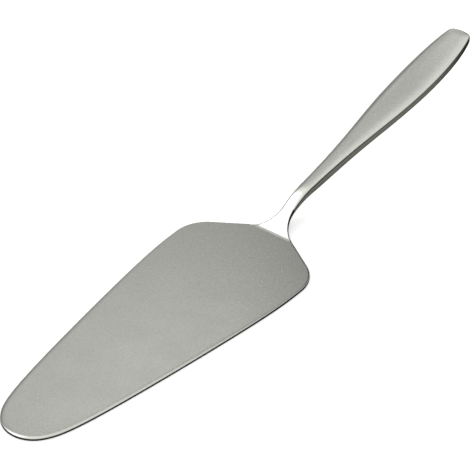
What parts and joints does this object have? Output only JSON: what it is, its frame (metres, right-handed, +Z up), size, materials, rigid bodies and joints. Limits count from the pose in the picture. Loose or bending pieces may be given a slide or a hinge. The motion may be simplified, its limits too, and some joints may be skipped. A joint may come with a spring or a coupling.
{
  "type": "pie server",
  "caption": "Stainless steel pie server with a flat round-nosed wedge blade and a raised, crowned solid handle welded to it at a sharp crease.",
  "frame": {"origin": "on the table under the middle of the overall length, on the centre line", "axes": "+X from the blade's tip to the handle's end, +Y across the blade, +Z up from the table the blade lies flat on"},
  "size_m": [0.26, 0.0568, 0.0299],
  "materials": {
    "steel": "satin stainless steel, fine even grain, edges polished brighter"
  },
  "bodies": {
    "root": {"blade": "steel", "neck_weld": "steel", "handle": "steel"}
  },
  "joints": []
}
